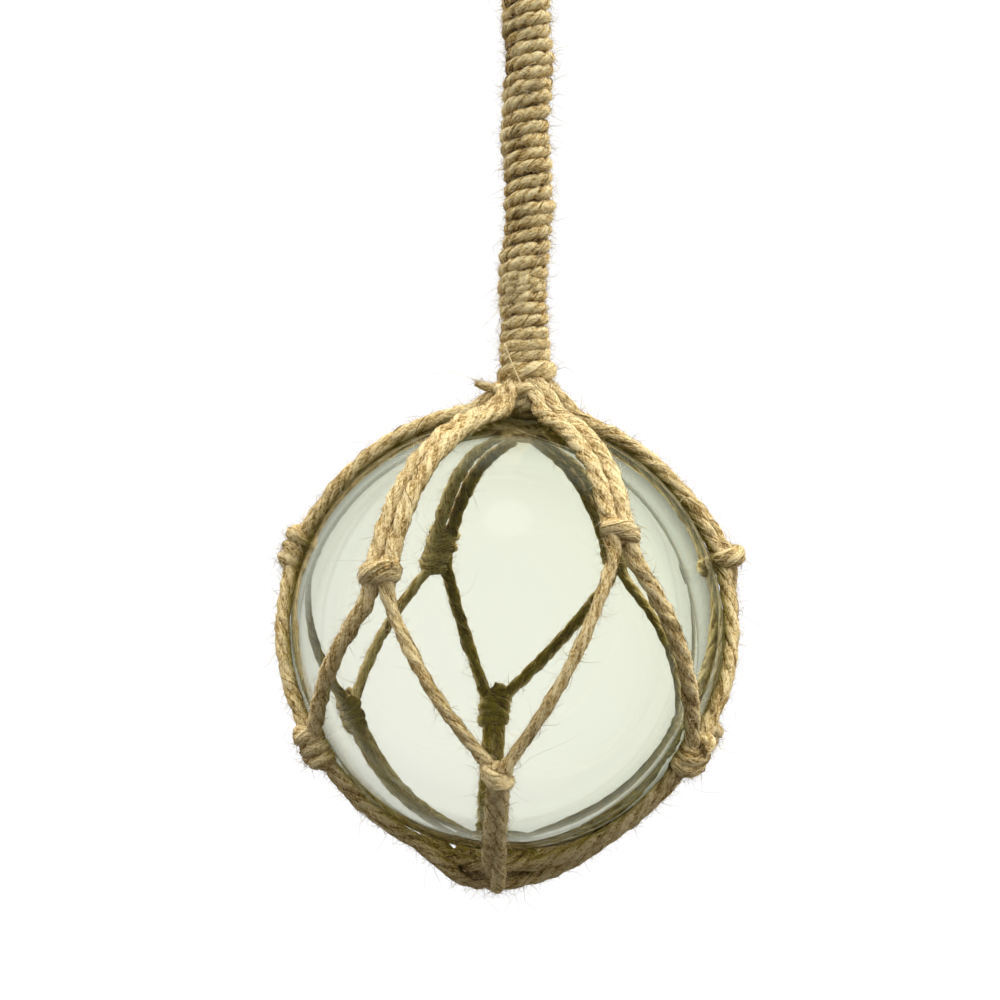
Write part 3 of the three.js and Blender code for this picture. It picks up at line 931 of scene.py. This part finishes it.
def mixed(tree, factor, first, second):
    """A colour between two, by a factor. Each colour is four numbers or an output."""
    made = add(tree, "ShaderNodeMix", data_type="RGBA")
    tree.links.new(factor, made.inputs[0])
    for socket, colour in ((made.inputs[6], first), (made.inputs[7], second)):
        if isinstance(colour, tuple):
            socket.default_value = colour
        else:
            tree.links.new(colour, socket)
    return made.outputs[2]


def ramp_along(tree, way, axis, low, high):
    """0 to 1 as a direction leans along an axis."""
    facing = add(tree, "ShaderNodeVectorMath", operation="DOT_PRODUCT")
    facing.inputs[1].default_value = axis
    tree.links.new(way, facing.inputs[0])
    span = add(tree, "ShaderNodeMapRange", interpolation_type="SMOOTHSTEP")
    span.inputs["From Min"].default_value = low
    span.inputs["From Max"].default_value = high
    tree.links.new(facing.outputs["Value"], span.inputs["Value"])
    return span.outputs["Result"]


def larger(tree, first, second):
    made = add(tree, "ShaderNodeMath", operation="MAXIMUM")
    tree.links.new(first, made.inputs[0])
    tree.links.new(second, made.inputs[1])
    return made.outputs["Value"]


def none_yet(tree, depth):
    """1 for a ray that hasn't yet made a bounce of the kind counted, and otherwise 0."""
    made = add(tree, "ShaderNodeMath", operation="LESS_THAN")
    made.inputs[1].default_value = 0.5
    tree.links.new(depth, made.inputs[0])
    return made.outputs["Value"]


def what_shows(tree, way, path):
    """What the camera sees: white all round, also straight through the glass. The sheen on the
    glass shows only a lamp, and the rim of the glass, which reflects inside, has its own greys."""
    dark, palest, dimmer = (math.cos(math.radians(edge)) for edge in RIM_EDGES)
    rim = mixed(tree, ramp_along(tree, way, (0, 1, 0), dark, palest), RIM_FRONT, RIM_SIDE)
    rim = mixed(tree, ramp_along(tree, way, (0, 1, 0), palest, dimmer), rim, RIM_BACK)
    outer, inner = (math.cos(math.radians(edge)) for edge in LAMP_EDGE)
    gloss = mixed(tree, ramp_along(tree, way, LAMP_WAY, outer, inner), GLOSS_DARK, LAMP_WHITE)
    seen = mixed(tree, none_yet(tree, path["Glossy Depth"]), rim, WHITE)
    return mixed(tree, path["Is Reflection Ray"], seen, gloss)


def what_lights(tree, way):
    """Soft light from above and from behind, with little from the front and from below."""
    light = mixed(tree, ramp_along(tree, way, (0, 1, 0), *BACK_FADE), LIGHT_FRONT, LIGHT_BACK)
    light = mixed(tree, ramp_along(tree, way, (0, 0, -1), *BELOW_FADE), light, LIGHT_BELOW)
    return mixed(tree, ramp_along(tree, way, ABOVE_WAY, *ABOVE_FADE), light, LIGHT_ABOVE)


def studio(scene):
    scene.view_settings.view_transform = "Standard"
    world = bpy.data.worlds.new("studio")
    scene.world = world
    world.use_nodes = True
    tree = world.node_tree
    way = add(tree, "ShaderNodeTexCoord").outputs["Generated"]
    path = add(tree, "ShaderNodeLightPath").outputs
    direct = larger(tree, path["Is Camera Ray"], path["Is Glossy Ray"])
    direct = larger(tree, direct, path["Is Transmission Ray"])
    shows = add(tree, "ShaderNodeMath", operation="MULTIPLY")
    tree.links.new(direct, shows.inputs[0])
    tree.links.new(none_yet(tree, path["Diffuse Depth"]), shows.inputs[1])
    seen = what_shows(tree, way, path)
    colour = mixed(tree, shows.outputs["Value"], what_lights(tree, way), seen)
    tree.links.new(colour, tree.nodes["Background"].inputs["Color"])


def pale_floor(scene):
    height = (BALL_AT[2] - FLOOR_DROP) * MM
    mesh = bpy.data.meshes.new("floor")
    around = ((-1, -1), (1, -1), (1, 1), (-1, 1))
    corners = [(x * FLOOR_HALF, y * FLOOR_HALF, height) for x, y in around]
    mesh.from_pydata(corners, [], [(0, 1, 2, 3)])
    floor = bpy.data.objects.new("floor", mesh)
    scene.collection.objects.link(floor)
    material = bpy.data.materials.new("pale_floor")
    material.use_nodes = True
    tree = material.node_tree
    tree.nodes.remove(tree.nodes["Principled BSDF"])
    glow = add(tree, "ShaderNodeEmission")
    glow.inputs["Color"].default_value = WHITE
    tree.links.new(glow.outputs["Emission"], tree.nodes["Material Output"].inputs["Surface"])
    mesh.materials.append(material)
    # The floor shows to the camera alone: it lights nothing, and the glass doesn't mirror it.
    floor.visible_diffuse = False
    floor.visible_glossy = False
    floor.visible_transmission = False


def photo_camera(scene):
    data = bpy.data.cameras.new("camera")
    data.lens = CAMERA_LENS
    data.sensor_width = 36
    camera = bpy.data.objects.new("camera", data)
    camera.location = CAMERA_AT
    camera.rotation_euler = (math.pi / 2, 0, 0)
    scene.collection.objects.link(camera)
    scene.camera = camera


studio(bpy.context.scene)
pale_floor(bpy.context.scene)
photo_camera(bpy.context.scene)
stem = served_stem()
loop = hanging_loop()
route = stem_axis(np.linspace(STEM_BOTTOM, STEM_TOP, 25))
route = (route + BALL_AT) * MM
net_cords()
neck()
base()
glass_ball()
fuzz.finish(
    [
        ("fuzz_pale", loose_fibre("fibre_pale", (0.92, 0.80, 0.52))),
        ("fuzz_straw", loose_fibre("fibre_straw", (0.70, 0.54, 0.28))),
        ("fuzz_tan", loose_fibre("fibre_tan", (0.46, 0.33, 0.16))),
        ("fuzz_umber", loose_fibre("fibre_umber", (0.24, 0.16, 0.075))),
    ]
)
